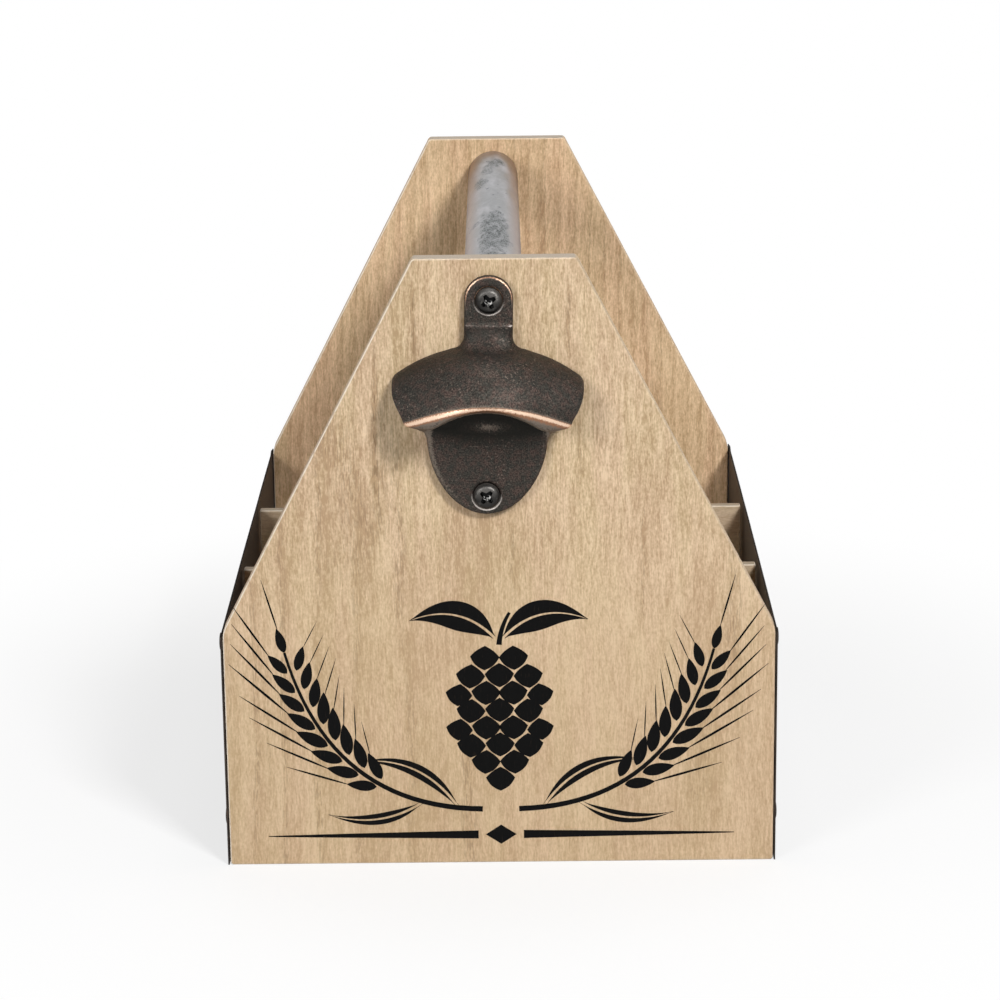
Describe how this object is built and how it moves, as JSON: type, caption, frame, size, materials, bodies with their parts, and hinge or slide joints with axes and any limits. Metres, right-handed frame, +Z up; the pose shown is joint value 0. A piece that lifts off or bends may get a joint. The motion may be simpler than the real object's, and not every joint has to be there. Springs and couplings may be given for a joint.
{
  "type": "bottle carrier",
  "caption": "Open tote for beer bottles: wooden end boards, thin steel sides, tube handle, lift-out divider grid and a cast cap lifter on the front board.",
  "frame": {"origin": "middle of the underside, between the end boards", "axes": "+X across the carrier to the right seen from the opener's side, +Y along the handle from the opener's board to the plain board, +Z up"},
  "size_m": [0.1832, 0.2681, 0.204],
  "materials": {
    "end_wood": "pale sanded wood with open pores, matt clear oil",
    "inner_wood": "plain pale wood, unfinished",
    "sheet_steel": "dark brown patinated steel, satin",
    "galvanised_steel": "galvanised, mottled, half dull",
    "antique_copper": "dark antique copper casting with bright worn edges",
    "black_steel": "black oxide",
    "nail_steel": "dark nail heads"
  },
  "bodies": {
    "carrier": {"front_panel": "end_wood", "rear_panel": "end_wood", "bottom_board": "inner_wood", "side_sheet_left": "sheet_steel", "side_sheet_right": "sheet_steel", "handle_tube": "galvanised_steel", "handle_plug_front": "inner_wood", "handle_plug_rear": "inner_wood", "handle_screw_rear": "black_steel", "opener_casting": "antique_copper", "opener_screw_upper": "black_steel", "opener_screw_lower": "black_steel", "nail_left_front_upper": "nail_steel", "nail_left_front_lower": "nail_steel", "nail_left_rear_upper": "nail_steel", "nail_left_rear_lower": "nail_steel", "nail_left_bottom_1": "nail_steel", "nail_left_bottom_2": "nail_steel", "nail_left_bottom_3": "nail_steel", "nail_right_front_upper": "nail_steel", "nail_right_front_lower": "nail_steel", "nail_right_rear_upper": "nail_steel", "nail_right_rear_lower": "nail_steel", "nail_right_bottom_1": "nail_steel", "nail_right_bottom_2": "nail_steel", "nail_right_bottom_3": "nail_steel"},
    "divider_grid": {"long_divider": "inner_wood", "cross_divider_front": "inner_wood", "cross_divider_rear": "inner_wood"}
  },
  "joints": [
    {"name": "divider_lift", "type": "slide", "parent": "carrier", "child": "divider_grid", "axis": [0, 0, 1], "range_m": [0, 0.09]}
  ]
}
